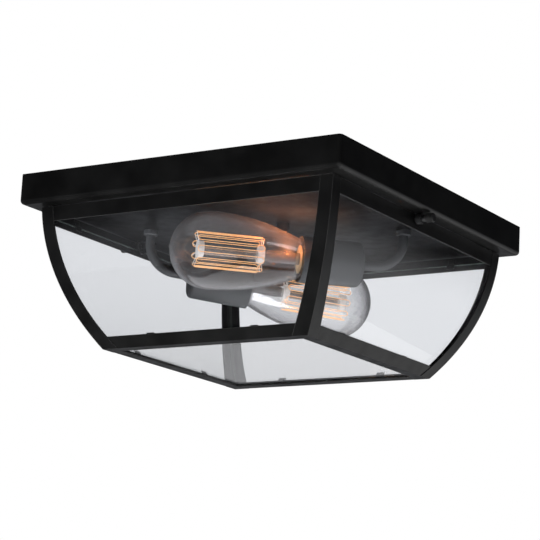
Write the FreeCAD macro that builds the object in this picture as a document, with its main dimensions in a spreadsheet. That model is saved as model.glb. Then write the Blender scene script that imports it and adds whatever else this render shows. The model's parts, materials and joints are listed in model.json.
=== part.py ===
import FreeCAD, Part
import math
import os
import re
import sys

import Sketcher

# Square porch ceiling lantern: a folded pan against the ceiling, a curved glass cage
# under it, and two lamps lying along one diagonal, pointing opposite ways.
# Millimetres. The origin is the middle of the pan's rim, on the ceiling; +Z is up.
# The front is the -Y side, the right is the +X side.

SIZES = [
    # ceiling pan
    ("PanWidth", 304.8, "side of the square pan"),
    ("PanDepth", 25.4, "height of the pan"),
    ("PanSheet", 1.2, "sheet of the pan"),
    ("PanCornerRadius", 3.0, "upright folded corners, outside"),
    ("PanEdgeRadius", 3.5, "lower folded edges, outside"),
    # cage frame
    ("CageTopWidth", 278.0, "across the cage at its top edge"),
    ("CageBottomWidth", 195.6, "across the cage at its bottom"),
    ("CageGap", 0.6, "cage's top edge below the pan"),
    ("CageHeight", 113.0, "height of the cage"),
    ("CageCurveRadius", 207.1, "bend radius of posts and side glass"),
    ("PostWidth", 11.5, "flange of a corner post"),
    ("PostSheet", 1.5, "thickness of a corner post"),
    ("RailSetback", 0.5, "rail face behind the post face"),
    ("RailSheet", 1.2, "thickness of a rail"),
    ("TopRailHeight", 12.0, "height of a top rail"),
    ("BottomRailHeight", 9.0, "height of a bottom rail's upright strip"),
    ("LipWidth", 10.8, "inward lip of a bottom rail"),
    # glass
    ("SideGlassSheet", 2.0, "thickness of a side panel"),
    ("BottomGlassSheet", 3.0, "thickness of the bottom panel"),
    ("GlassGap", 0.2, "gap between glass and metal"),
    ("PanelGap", 0.3, "gap between two neighbouring panels"),
    ("GlassDrop", 7.0, "side panel's top edge below the cage's top"),
    # small tabs that hold the glass
    ("ClipSheet", 0.8, "thickness of a glass clip"),
    ("ClipWidth", 7.0, "width of a glass clip"),
    ("ClipReach", 3.0, "how far a bottom clip covers the glass"),
    ("BottomClipTail", 1.6, "bottom clip's tail above its rail"),
    ("BottomClipPitch", 99.0, "between two bottom clips"),
    ("TopClipPitch", 190.0, "between two top clips"),
    ("TopClipEdge", 1.5, "top clip's upper edge below the cage's top"),
    ("TopClipTail", 3.5, "top clip's tail behind the glass"),
    # thumbscrews, their bushes and lugs
    ("ScrewDrop", 3.7, "thumbscrew axis below the cage's top"),
    ("ScrewOffset", 7.5, "thumbscrew axis in front of the middle"),
    ("ScrewRadius", 2.0, "thumbscrew shank"),
    ("ScrewRunFit", 0.08, "shank's radial play in its lug"),
    ("ScrewPlay", 0.5, "shank's radial play in the rail's notch"),
    ("ScrewEndPast", 1.5, "shank's end past the lug"),
    ("ShoulderRadius", 2.8, "shoulder under the head"),
    ("ShoulderLength", 3.0, "length of that shoulder"),
    ("HeadRadius", 3.75, "knurled head"),
    ("HeadLength", 7.0, "length of the knurled head"),
    ("HeadChamfer", 0.5, "bevel at both ends of the head"),
    ("KnurlRadius", 0.28, "radius of one knurl groove"),
    ("KnurlCount", 28, "grooves round the head"),
    ("BushRadius", 4.3, "clamp bush"),
    ("BushBore", 2.1, "bore radius of the bush"),
    ("BushLength", 5.2, "length of the bush"),
    ("BushGap", 0.3, "bush clear of the rail"),
    ("LugRadius", 6.5, "half the width of a lug, and its round end"),
    ("LugSheet", 2.0, "thickness of a lug"),
    ("LugFoot", 11.0, "lug's foot along the pan"),
    ("LugGap", 0.5, "lug clear of the glass"),
    # crossbar, studs and nuts
    ("BarLength", 112.0, "length of the crossbar"),
    ("BarWidth", 20.0, "width of the crossbar"),
    ("BarSheet", 2.0, "thickness of the crossbar"),
    ("BarHole", 5.0, "radius of the crossbar's middle hole"),
    ("SmallBoxPitch", 69.85, "between the screw holes for a small ceiling box"),
    ("LargeBoxPitch", 88.9, "between the screw holes for a large ceiling box"),
    ("BoxHoleRadius", 2.3, "those holes"),
    ("StudPitch", 56.0, "between the two studs"),
    ("StudRadius", 2.0, "stud thread"),
    ("StudFit", 0.05, "stud's radial fit in the bar and nuts"),
    ("StudPlay", 0.6, "stud's radial play in the pan"),
    ("CapNutRadius", 5.5, "cap nut"),
    ("CapNutLength", 9.0, "height of a cap nut"),
    ("CapNutWall", 2.2, "metal over the stud's end"),
    ("GroundOffset", 14.0, "earth screw from the bar's middle"),
    ("GroundRadius", 1.9, "earth screw shank"),
    ("GroundHeadRadius", 3.9, "earth screw head"),
    ("GroundHeadLength", 2.4, "earth screw head height"),
    ("GroundHeadBevel", 0.6, "bevel of that head"),
    # arms
    ("LampSpacing", 88.0, "between the two lamps' axes, in plan"),
    ("LampAngle", 45.0, "plan direction of the lamps"),
    ("ArmBase", 98.6, "arm's foot from the middle, along the lamps"),
    ("ArmRadius", 4.0, "arm tube"),
    ("ArmWall", 1.0, "wall of the arm tube"),
    ("ArmBend", 24.0, "bend radius of the arm's middle line"),
    ("ArmTopPast", 6.5, "arm's threaded end above the pan's plate"),
    ("ArmInside", 9.0, "arm's threaded end inside the cup"),
    ("ArmHolePlay", 0.2, "arm's radial play in pan and cup"),
    ("CollarRadius", 6.2, "collar round the arm's foot"),
    ("CollarHeight", 4.5, "height of that collar"),
    ("CollarBevel", 1.0, "bevel round that collar"),
    ("NutRadius", 7.4, "corner radius of the arm and socket nuts"),
    ("NutHeight", 3.6, "height of those nuts"),
    ("NutFit", 0.05, "thread's radial fit in a nut"),
    ("BulbClear", 0.6, "lamp A's bulb below the pan"),
    ("AxisStepA", 0.0, "lamp A's axis below the highest place for it, at the cup's back"),
    ("AxisStepB", 3.2, "lamp B's axis below the highest place for it, at the cup's back"),
    ("DroopA", 0.0, "lamp A's fall from level, in degrees"),
    ("DroopB", 4.6, "lamp B's fall from level, in degrees"),
    # lampholders
    ("CupBack", 63.0, "cup's back from the middle, along the lamps"),
    ("CupLength", 51.5, "length of a cup"),
    ("CupBackRadius", 18.6, "cup's radius at its back"),
    ("CupMouthRadius", 19.2, "cup's radius at its mouth"),
    ("CupRound", 4.0, "rounding at the cup's back"),
    ("CupSheet", 1.0, "wall of a cup"),
    ("BodyGap", 1.9, "ceramic body clear of the nut behind it"),
    ("BodyNeck", 7.5, "length of the ceramic body's back neck"),
    ("BodyNeckRadius", 9.0, "radius of that neck"),
    ("MouthGap", 2.0, "base's rim past the ceramic body's mouth"),
    ("BodyPlay", 1.0, "ceramic body's radial play in the cup"),
    ("BodyFloor", 4.0, "ceramic floor under the contact"),
    ("BodyFit", 0.15, "screw shell's radial fit in the ceramic"),
    ("ShellPlay", 0.4, "bulb base's radial play in the screw shell"),
    ("ShellSheet", 0.4, "wall of the screw shell"),
    ("ContactWidth", 5.0, "width of the centre contact"),
    ("ContactSheet", 0.5, "thickness of the centre contact"),
    ("ContactHeight", 2.1, "height of the centre contact's tongue"),
    ("ContactLength", 14.0, "length of the centre contact's foot"),
    ("TerminalRadius", 1.4, "terminal screw shank"),
    ("TerminalFloor", 1.0, "ceramic left past a terminal screw's end"),
    ("TerminalHeadRadius", 2.6, "terminal screw head"),
    ("TerminalHead", 2.0, "height of a terminal screw head"),
    ("TerminalGap", 1.0, "terminal screw head clear of the ceramic neck"),
    # bulbs
    ("BulbLength", 113.0, "glass of the bulb past its brass base"),
    ("BulbRadius", 32.0, "bulb at its widest, and its round end"),
    ("BulbNeckRadius", 13.4, "glass where it meets the base"),
    ("BulbGlassSheet", 0.8, "wall of the bulb"),
    ("TipGap", 0.3, "solder contact above the centre contact, lamp screwed home"),
    ("NeckStep", 1.0, "glass spreads to its full neck within this"),
    ("NeckFit", 0.15, "glass neck's radial fit in the base"),
    ("NeckClear", 0.6, "glass neck above the base's first thread"),
    ("PipRadius", 1.7, "sealed tip of the bulb"),
    ("PipEndRadius", 0.7, "flat at that tip's end"),
    ("PipHeight", 1.2, "height of the sealed tip"),
    ("BaseRadius", 12.95, "crest radius of the base's thread"),
    ("BaseSheet", 0.4, "wall of the base"),
    ("ThreadPitch", 3.63, "pitch of the base's thread"),
    ("ThreadDepth", 0.7, "depth of the base's thread"),
    ("ThreadCount", 4, "turns of the base's thread"),
    ("BaseSkirt", 5.0, "plain skirt above the thread"),
    ("InsulatorLength", 4.0, "glass insulator under the base"),
    ("InsulatorFit", 0.1, "insulator's radial fit in the base"),
    ("InsulatorTuck", 1.0, "insulator's rim inside the base"),
    ("TipRadius", 4.4, "solder contact of the bulb"),
    ("TipFaceRadius", 2.6, "solder contact's outer face"),
    ("TipHeight", 1.6, "height of the solder contact"),
    ("StemGap", 0.6, "stem's flare clear of the neck's wall"),
    ("StemTuck", 1.0, "stem's flare above the neck's end"),
    ("FlareRim", 0.8, "thickness of the flare's rim"),
    ("FlareRise", 8.0, "height of the flare"),
    ("StemRadius", 4.8, "stem's tube"),
    ("StemLength", 36.0, "stem from the base's rim to its press"),
    ("PressLength", 6.0, "stem's taper to its rod"),
    ("StemRod", 3.8, "glass rod up the middle"),
    ("HubTop", 27.0, "upper support below the bulb's end"),
    ("HubRadius", 7.0, "ceramic support of the filament"),
    ("HubHeight", 5.0, "height of a ceramic support"),
    ("HubFit", 0.1, "lower support's radial fit on the rod"),
    ("HookCount", 9, "filament hooks on each support"),
    ("HookReach", 14.5, "filament cage's radius"),
    ("HookRadius", 0.3, "wire of a hook"),
    ("UpperHookRise", 4.0, "upper bends of the wire past their support's middle"),
    ("LowerHookRise", 0.8, "lower bends of the wire past their support's middle"),
    ("FilamentRadius", 0.25, "filament strand"),
]

SIDES = {"right": 0, "back": 90, "left": 180, "front": 270}
CORNERS = {"back_right": 0, "back_left": 90, "front_left": 180, "front_right": 270}
# each lamp: the way it points along the diagonal, as a turn in plan
LAMPS = {"a": 180, "b": 0}

# levels that several pieces share, as rules
CAGE_TOP = "(-PanDepth - CageGap)"
CAGE_FOOT = f"({CAGE_TOP} - CageHeight)"
GLASS_TOP = f"({CAGE_TOP} - GlassDrop)"
SCREW_LEVEL = f"({CAGE_TOP} - ScrewDrop)"

# how near an edge or face lies to its level when it is picked out
NEAR = 0.1

UP = FreeCAD.Vector(0, 0, 1)
ACROSS_X = FreeCAD.Rotation(FreeCAD.Vector(1, 1, 1), 120)
LOWER_HALF = ACROSS_X.multiply(FreeCAD.Rotation(UP, 180))
FACING_FRONT = FreeCAD.Rotation(FreeCAD.Vector(1, 0, 0), 90)
FLAT = FreeCAD.Rotation()

doc = FreeCAD.newDocument("PorchLantern")
sheet = doc.addObject("Spreadsheet::Sheet", "Sizes")
pieces = []


# ---------------------------------------------------------------- helpers

def put(row, alias, number, note):
    """One size in the sheet."""
    sheet.set(f"A{row}", note)
    sheet.set(f"B{row}", repr(number))
    sheet.setAlias(f"B{row}", alias)


def text(rule):
    """A rule such as 'PanWidth / 2' with its sizes looked up in the sheet."""
    return re.sub(r"\b([A-Z][A-Za-z]+)\b", r"Sizes.\1", str(rule))


def size(rule):
    """The rule's value as a plain number."""
    found = sheet.evalExpression(text(rule))
    return float(getattr(found, "Value", found))


def bind(thing, rules):
    """Tie properties to rules; a property that is a plain name or a path."""
    for name, rule in rules.items():
        thing.setExpression(name, text(rule))
    return thing


def reach(inset, level):
    """Rule: half width of the cage at a level, that far inside its outer face."""
    return (f"(sqrt((CageCurveRadius - ({inset}))^2 - (({level}) - CurveLevel)^2)"
            f" - CurveInset)")


def draw(sketch, corners, closed=True):
    """Lines and arcs through corners given as rules (x, y) or
    (x, y, radius, side), where the arc to the next corner has its centre on that side."""
    spots = [FreeCAD.Vector(size(c[0]), size(c[1]), 0) for c in corners]
    steps = len(corners) if closed else len(corners) - 1
    ends = []
    for n in range(steps):
        a, b = spots[n], spots[(n + 1) % len(spots)]
        if len(corners[n]) == 2:
            index = sketch.addGeometry(Part.LineSegment(a, b), False)
            ends.append((index, 1, 2))
            continue
        radius, side = size(corners[n][2]), corners[n][3]
        chord = b - a
        left = FreeCAD.Vector(-chord.y, chord.x, 0).normalize()
        rise = math.sqrt(max(radius ** 2 - (chord.Length / 2) ** 2, 0))
        centre = (a + b) / 2 + left * (rise if side == "left" else -rise)
        first, last = (a, b) if side == "left" else (b, a)
        begin = math.atan2(first.y - centre.y, first.x - centre.x)
        finish = math.atan2(last.y - centre.y, last.x - centre.x)
        arc = Part.ArcOfCircle(Part.Circle(centre, UP, radius), begin, finish)
        index = sketch.addGeometry(arc, False)
        ends.append((index, 1, 2) if side == "left" else (index, 2, 1))
        limit = sketch.addConstraint(Sketcher.Constraint("Radius", index, radius))
        sketch.setExpression(f"Constraints[{limit}]", text(corners[n][2]))
    for n in range(steps if closed else steps - 1):
        here, after = ends[n], ends[(n + 1) % steps]
        sketch.addConstraint(
            Sketcher.Constraint("Coincident", here[0], here[2], after[0], after[1]))
    for n, corner in enumerate(corners):
        index, where = ends[n][:2] if n < steps else (ends[-1][0], ends[-1][2])
        for kind, rule, value in (("DistanceX", corner[0], spots[n].x),
                                  ("DistanceY", corner[1], spots[n].y)):
            limit = sketch.addConstraint(
                Sketcher.Constraint(kind, -1, 1, index, where, value))
            sketch.setExpression(f"Constraints[{limit}]", text(rule))
    return sketch


def ring(sketch, radius, x="0", y="0"):
    """A bound circle in a sketch."""
    centre = FreeCAD.Vector(size(x), size(y), 0)
    index = sketch.addGeometry(Part.Circle(centre, UP, size(radius)), False)
    limits = (("Radius", (index, size(radius)), radius),
              ("DistanceX", (-1, 1, index, 3, centre.x), x),
              ("DistanceY", (-1, 1, index, 3, centre.y), y))
    for kind, ids, rule in limits:
        limit = sketch.addConstraint(Sketcher.Constraint(kind, *ids))
        sketch.setExpression(f"Constraints[{limit}]", text(rule))
    return sketch


def new_body(name):
    return doc.addObject("PartDesign::Body", name)


def body_sketch(body, name, role="XY_Plane", lift=None):
    """A sketch on one of the body's own planes, lifted along its normal by a rule."""
    sketch = body.newObject("Sketcher::SketchObject", name)
    plane = [p for p in body.Origin.OriginFeatures if p.Role == role][0]
    sketch.AttachmentSupport = [(plane, "")]
    sketch.MapMode = "FlatFace"
    if lift is not None:
        bind(sketch, {"AttachmentOffset.Base.z": lift})
    return sketch


def pad(body, sketch, length, downwards=False, middle=False):
    feature = body.newObject("PartDesign::Pad", sketch.Name + "_pad")
    feature.Profile = sketch
    feature.Reversed = downwards
    feature.Midplane = middle
    return bind(feature, {"Length": length})


def pocket_through(body, sketch):
    """Cut the sketch through the whole body, both ways."""
    feature = body.newObject("PartDesign::Pocket", sketch.Name + "_pocket")
    feature.Profile = sketch
    feature.Type = "ThroughAll"
    feature.Midplane = True
    return feature


def turned(name, corners):
    """A lathe piece: corners are (radius, height) about the body's upright axis."""
    body = new_body(name)
    sketch = draw(body_sketch(body, name + "_outline", "XZ_Plane"), corners)
    spin = body.newObject("PartDesign::Revolution", name + "_spin")
    spin.Profile = sketch
    spin.ReferenceAxis = (sketch, ["V_Axis"])
    spin.Angle = 360
    return body


def loose_sketch(name, turn, corners):
    """A sketch outside any body, facing as the turn says."""
    sketch = doc.addObject("Sketcher::SketchObject", name)
    sketch.Placement = FreeCAD.Placement(FreeCAD.Vector(), turn)
    return draw(sketch, corners)


def swept(name, turn, corners, length):
    """The outline pushed out evenly to both sides of its plane."""
    feature = doc.addObject("Part::Extrusion", name)
    feature.Base = loose_sketch(name + "_outline", turn, corners)
    feature.DirMode = "Normal"
    feature.Solid = True
    feature.Symmetric = True
    return bind(feature, {"LengthFwd": length})


def block(name, low, high):
    """A box between two corners given as rules."""
    box = doc.addObject("Part::Box", name)
    rules = {}
    for axis, side, a, b in zip("xyz", ("Length", "Width", "Height"), low, high):
        rules[f"Placement.Base.{axis}"] = a
        rules[side] = f"({b}) - ({a})"
    return bind(box, rules)


def rod(name, radius, length, base=("0", "0", "0"), turn=FLAT, sweep=360):
    """A cylinder, or a slice of one, from its base point along its turned upright axis."""
    cylinder = doc.addObject("Part::Cylinder", name)
    cylinder.Angle = sweep
    cylinder.Placement = FreeCAD.Placement(FreeCAD.Vector(), turn)
    return bind(cylinder, {"Radius": radius, "Height": length,
                           "Placement.Base.x": base[0],
                           "Placement.Base.y": base[1],
                           "Placement.Base.z": base[2]})


def cut(name, base, tool):
    feature = doc.addObject("Part::Cut", name)
    feature.Base, feature.Tool = base, tool
    return feature


def fuse(name, parts):
    feature = doc.addObject("Part::MultiFuse", name)
    feature.Shapes = parts
    return feature


def common(name, parts):
    feature = doc.addObject("Part::MultiCommon", name)
    feature.Shapes = parts
    return feature


def group(name, parts):
    """Several separate solids under one name."""
    feature = doc.addObject("Part::Compound", name)
    feature.Links = parts
    return feature


def done(feature, label, place=None):
    """Give a finished piece its label and its place."""
    feature.Label = label
    if place is not None:
        feature.Placement = place
    pieces.append(feature)
    return feature


def turn_about_up(degrees):
    return FreeCAD.Placement(FreeCAD.Vector(), FreeCAD.Rotation(UP, degrees))


# ---------------------------------------------------------------- sizes

def fill_sheet():
    for row, (alias, number, note) in enumerate(SIZES, start=1):
        put(row, alias, number, note)
    doc.recompute()
    # centre of the cage's side curve, from its two ends and its radius
    top_x, bottom_x = size("CageTopWidth / 2"), size("CageBottomWidth / 2")
    top_z, bottom_z = size(CAGE_TOP), size(CAGE_FOOT)
    half = math.hypot(top_x - bottom_x, top_z - bottom_z) / 2
    rise = math.sqrt(size("CageCurveRadius") ** 2 - half ** 2)
    lean = math.atan2(top_x - bottom_x, top_z - bottom_z)
    centre_x = (top_x + bottom_x) / 2 - rise * math.cos(lean)
    centre_z = (top_z + bottom_z) / 2 + rise * math.sin(lean)
    put(len(SIZES) + 1, "CurveInset", -centre_x, "side curve's centre past the middle")
    put(len(SIZES) + 2, "CurveLevel", centre_z, "side curve's centre level")
    doc.recompute()


# ---------------------------------------------------------------- ceiling side

def lamp_spot(along, across):
    """Rules for the plan point that far along and across the lamps' diagonal."""
    return (f"(({along}) * cos(LampAngle) + ({across}) * sin(LampAngle))",
            f"(({along}) * sin(LampAngle) - ({across}) * cos(LampAngle))")


def arm_feet():
    return {"a": lamp_spot("ArmBase", "LampSpacing / 2"),
            "b": lamp_spot("-ArmBase", "-LampSpacing / 2")}


def stud_spots():
    return [lamp_spot("0", f"{sign} * StudPitch / 2") for sign in (1, -1)]


def edges_at(shape, level):
    """Names of the edges whose middle lies at a level given as a rule."""
    return [f"Edge{n}" for n, edge in enumerate(shape.Edges, start=1)
            if abs(edge.CenterOfMass.z - size(level)) < NEAR]


def build_pan():
    body = new_body("pan_body")
    half = "PanWidth / 2"
    outline = draw(body_sketch(body, "pan_outline"),
                   [(f"-{half}", f"-{half}"), (half, f"-{half}"),
                    (half, half), (f"-{half}", half)])
    solid = pad(body, outline, "PanDepth", downwards=True)
    doc.recompute()

    corners = body.newObject("PartDesign::Fillet", "pan_corners")
    corners.Base = (solid, edges_at(solid.Shape, "-PanDepth / 2"))
    bind(corners, {"Radius": "PanCornerRadius"})
    doc.recompute()

    folds = body.newObject("PartDesign::Fillet", "pan_folds")
    folds.Base = (corners, edges_at(corners.Shape, "-PanDepth"))
    bind(folds, {"Radius": "PanEdgeRadius"})
    doc.recompute()

    rim = [f"Face{n}" for n, face in enumerate(folds.Shape.Faces, start=1)
           if abs(face.CenterOfMass.z) < NEAR]
    shell = body.newObject("PartDesign::Thickness", "pan_shell")
    shell.Base = (folds, rim)
    shell.Reversed = True
    bind(shell, {"Value": "PanSheet"})
    doc.recompute()

    holes = body_sketch(body, "pan_holes")
    for x, y in arm_feet().values():
        ring(holes, "ArmRadius + ArmHolePlay", x, y)
    for x, y in stud_spots():
        ring(holes, "StudRadius + StudPlay", x, y)
    pocket_through(body, holes)
    done(body, "ceiling_pan")


def build_crossbar():
    body = new_body("bar_body")
    long, wide = "BarLength / 2", "BarWidth / 2"
    outline = draw(body_sketch(body, "bar_outline"),
                   [(f"-{long}", f"-{wide}"), (long, f"-{wide}"),
                    (long, wide), (f"-{long}", wide)])
    pad(body, outline, "BarSheet", downwards=True)
    holes = body_sketch(body, "bar_holes")
    ring(holes, "BarHole")
    for sign in (1, -1):
        ring(holes, "StudRadius + StudFit", f"{sign} * StudPitch / 2")
        ring(holes, "BoxHoleRadius", f"{sign} * SmallBoxPitch / 2")
        ring(holes, "BoxHoleRadius", f"{sign} * LargeBoxPitch / 2")
    ring(holes, "GroundRadius + StudFit", "GroundOffset")
    pocket_through(body, holes)
    done(body, "mounting_crossbar", turn_about_up(size("LampAngle - 90")))


def build_studs_and_nuts():
    studs, nuts = [], []
    nut_top = "-PanDepth"
    nut_low = "-PanDepth - CapNutLength"
    stud_low = "-PanDepth - CapNutLength + CapNutWall"
    dome = "CapNutRadius"
    for n, (x, y) in enumerate(stud_spots(), start=1):
        studs.append(rod(f"stud_{n}", "StudRadius", f"-({stud_low})", (x, y, stud_low)))
        nut = turned(f"cap_nut_{n}", [
            ("StudRadius + StudFit", nut_top),
            ("StudRadius + StudFit", stud_low),
            ("0", stud_low),
            ("0", nut_low, dome, "left"),
            ("CapNutRadius", f"{nut_low} + {dome}"),
            ("CapNutRadius", nut_top)])
        bind(nut, {"Placement.Base.x": x, "Placement.Base.y": y})
        nuts.append(nut)
    done(group("stud_pair", studs), "mounting_studs")
    done(group("cap_nut_pair", nuts), "cap_nuts")


def build_ground_screw():
    head_low = "-BarSheet - GroundHeadLength"
    screw = turned("ground_screw_body", [
        ("0", "0"), ("GroundRadius", "0"), ("GroundRadius", "-BarSheet"),
        ("GroundHeadRadius", "-BarSheet"), ("GroundHeadRadius", f"{head_low} + GroundHeadBevel"),
        ("GroundHeadRadius - GroundHeadBevel", head_low), ("0", head_low)])
    x, y = lamp_spot("0", "GroundOffset")
    bind(screw, {"Placement.Base.x": x, "Placement.Base.y": y})
    done(screw, "ground_screw")


# ---------------------------------------------------------------- cage

RAIL_IN = "(RailSetback + RailSheet)"
GLASS_OUT = f"({RAIL_IN} + GlassGap)"
GLASS_IN = f"({GLASS_OUT} + SideGlassSheet)"
LIP_TOP = f"({CAGE_FOOT} + RailSheet)"
BOTTOM_GLASS_TOP = f"({LIP_TOP} + BottomGlassSheet)"
CLIP_TOP = f"({BOTTOM_GLASS_TOP} + GlassGap + ClipSheet)"
PAST = "(CageTopWidth * 2)"


def side_strip(name, near, far, low, high, turn=FACING_FRONT):
    """Curved strip between two insets, on the right side (or the back, turned)."""
    return swept(name, turn, [
        (reach(near, low), low, f"CageCurveRadius - ({near})", "left"),
        (reach(near, high), high),
        (reach(far, high), high, f"CageCurveRadius - ({far})", "right"),
        (reach(far, low), low)], PAST)


def between_sides(name, inset, low, high):
    """Everything between the front and back faces, that far inside them."""
    radius = f"CageCurveRadius - ({inset})"
    return swept(name, ACROSS_X, [
        (reach(inset, low), low, radius, "left"),
        (reach(inset, high), high),
        (f"-{reach(inset, high)}", high, radius, "left"),
        (f"-{reach(inset, low)}", low)], PAST)


def build_posts():
    low, high = CAGE_FOOT, CAGE_TOP
    inner_far = "PostWidth + PostSheet"
    outer = common("post_outer", [
        side_strip("post_x", "0", "PostWidth", low, high),
        side_strip("post_y", "0", "PostWidth", low, high, ACROSS_X)])
    inner = common("post_inner", [
        side_strip("post_inner_x", "PostSheet", inner_far, low, high),
        side_strip("post_inner_y", "PostSheet", inner_far, low, high, ACROSS_X)])
    for corner, turn in CORNERS.items():
        post = cut(f"post_{corner}", outer, inner)
        done(post, f"corner_post_{corner}", turn_about_up(turn))


def build_top_rails():
    low, high = f"{CAGE_TOP} - TopRailHeight", CAGE_TOP
    strip = side_strip("top_rail_strip", "RailSetback", RAIL_IN, low, high)
    span = between_sides("top_rail_span", "PostWidth", low, high)
    for side, turn in SIDES.items():
        rail = common(f"top_rail_{side}_plain", [strip, span])
        if side in ("left", "right"):
            offset = "-ScrewOffset" if side == "right" else "ScrewOffset"
            notch = "(ScrewRadius + ScrewPlay)"
            slot = fuse(f"notch_{side}", [
                block(f"notch_{side}_slot",
                      ("CageBottomWidth / 2", f"{offset} - {notch}", SCREW_LEVEL),
                      ("PanWidth / 2", f"{offset} + {notch}", "-PanDepth")),
                rod(f"notch_{side}_end", notch, "PanWidth / 2",
                    ("CageBottomWidth / 2", offset, SCREW_LEVEL), ACROSS_X)])
            rail = cut(f"top_rail_{side}_notched", rail, slot)
        done(rail, f"top_rail_{side}", turn_about_up(turn))


def build_bottom_rails():
    low, high = CAGE_FOOT, f"{CAGE_FOOT} + BottomRailHeight"
    strip = common("bottom_strip", [
        side_strip("bottom_strip_x", "RailSetback", RAIL_IN, low, high),
        between_sides("bottom_strip_span", "PostWidth", low, high)])
    lip_inner = "CageBottomWidth / 2 - LipWidth"
    lip_edge = swept("lip_edge", FACING_FRONT, [
        (lip_inner, low),
        (reach("PostSheet", low), low, "CageCurveRadius - PostSheet", "left"),
        (reach("PostSheet", LIP_TOP), LIP_TOP),
        (lip_inner, LIP_TOP)], PAST)
    mitre = swept("lip_mitre", FLAT, [
        ("0", "0"), (PAST, f"-{PAST}"), (PAST, PAST)], PAST)
    lip = common("lip", [lip_edge, mitre])
    for side, turn in SIDES.items():
        rail = fuse(f"bottom_rail_{side}_body", [strip, lip])
        done(rail, f"bottom_rail_{side}", turn_about_up(turn))


def build_glass():
    low, high = f"{CLIP_TOP} + GlassGap", GLASS_TOP
    strip = side_strip("glass_strip", GLASS_OUT, GLASS_IN, low, high)
    span = between_sides("glass_span", f"{GLASS_IN} + PanelGap", low, high)
    for side, turn in SIDES.items():
        panel = common(f"glass_{side}_panel", [strip, span])
        done(panel, f"glass_{side}", turn_about_up(turn))
    edge = bottom_glass_edge()
    panel = block("glass_bottom_panel", (f"-{edge}", f"-{edge}", LIP_TOP),
                  (edge, edge, BOTTOM_GLASS_TOP))
    done(panel, "glass_bottom")


def bottom_glass_edge():
    """Half width of the bottom panel: inside the rails, the clips and their gaps."""
    return f"({reach(RAIL_IN, LIP_TOP)} - 2 * GlassGap - ClipSheet)"


def build_clips(name, corners, pitch):
    """Two clips on each side's rail, the same distance from its middle."""
    clips = []
    for side, turn in SIDES.items():
        spin = FreeCAD.Rotation(UP, turn)
        for sign in (-1, 1):
            clip = swept(f"{name}_{side}_{len(clips)}", FACING_FRONT, corners, "ClipWidth")
            along = FreeCAD.Vector(0, size(f"{sign} * {pitch} / 2"), 0)
            clip.Placement = FreeCAD.Placement(spin.multVec(along), spin)
            clips.append(clip)
    done(group(name + "_set", clips), name)


def build_bottom_clips():
    inner = f"({bottom_glass_edge()} + GlassGap)"
    outer = f"({inner} + ClipSheet)"
    tip = f"({bottom_glass_edge()} - ClipReach)"
    under = f"({CLIP_TOP} - ClipSheet)"
    tail_out = f"{GLASS_IN} + GlassGap"
    tail_in = f"{tail_out} + ClipSheet"
    tail = f"({CAGE_FOOT} + BottomRailHeight + BottomClipTail)"
    corners = [(inner, LIP_TOP), (outer, LIP_TOP), (reach(tail_out, CLIP_TOP), CLIP_TOP),
               (reach(tail_out, tail), tail), (reach(tail_in, tail), tail),
               (reach(tail_in, CLIP_TOP), CLIP_TOP),
               (tip, CLIP_TOP), (tip, under), (inner, under)]
    build_clips("bottom_glass_clips", corners, "BottomClipPitch")


def build_top_clips():
    seat_in = f"{RAIL_IN} + ClipSheet"
    tail_out = f"{GLASS_IN} + GlassGap"
    tail_in = f"{tail_out} + ClipSheet"
    step_low = f"({GLASS_TOP} + GlassGap)"
    step_high = f"({step_low} + ClipSheet)"
    seat = f"({CAGE_TOP} - TopClipEdge)"
    tail = f"({GLASS_TOP} - TopClipTail)"
    corners = [(reach(RAIL_IN, seat), seat), (reach(seat_in, seat), seat),
               (reach(seat_in, step_high), step_high),
               (reach(tail_in, step_high), step_high), (reach(tail_in, tail), tail),
               (reach(tail_out, tail), tail), (reach(tail_out, step_low), step_low),
               (reach(RAIL_IN, step_low), step_low)]
    build_clips("top_glass_clips", corners, "TopClipPitch")


# ---------------------------------------------------------------- thumbscrews

LUG_OUT = f"({reach(GLASS_IN, SCREW_LEVEL + ' - LugRadius')} - LugGap)"
BUSH_START = f"({reach('RailSetback', CAGE_TOP)} + BushGap)"


def build_lug(side, hand):
    """A bent lug under the pan, with the thumbscrew's thread in it."""
    axis = f"({-hand} * ScrewOffset)"
    inner = f"({LUG_OUT} - LugSheet)"
    blank = fuse(f"lug_{side}_blank", [
        block(f"lug_{side}_upright",
              (inner, f"{axis} - LugRadius", SCREW_LEVEL),
              (LUG_OUT, f"{axis} + LugRadius", "-PanDepth")),
        rod(f"lug_{side}_end", "LugRadius", "LugSheet",
            (inner, axis, SCREW_LEVEL), LOWER_HALF, sweep=180),
        block(f"lug_{side}_foot",
              (f"{LUG_OUT} - LugFoot", f"{axis} - LugRadius", "-PanDepth - LugSheet"),
              (LUG_OUT, f"{axis} + LugRadius", "-PanDepth"))])
    hole = rod(f"lug_{side}_hole", "ScrewRadius + ScrewRunFit", "LugSheet * 3",
               (f"{inner} - LugSheet", axis, SCREW_LEVEL), ACROSS_X)
    done(cut(f"lug_{side}_body", blank, hole), f"lug_{side}",
         turn_about_up(SIDES[side]))


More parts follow.
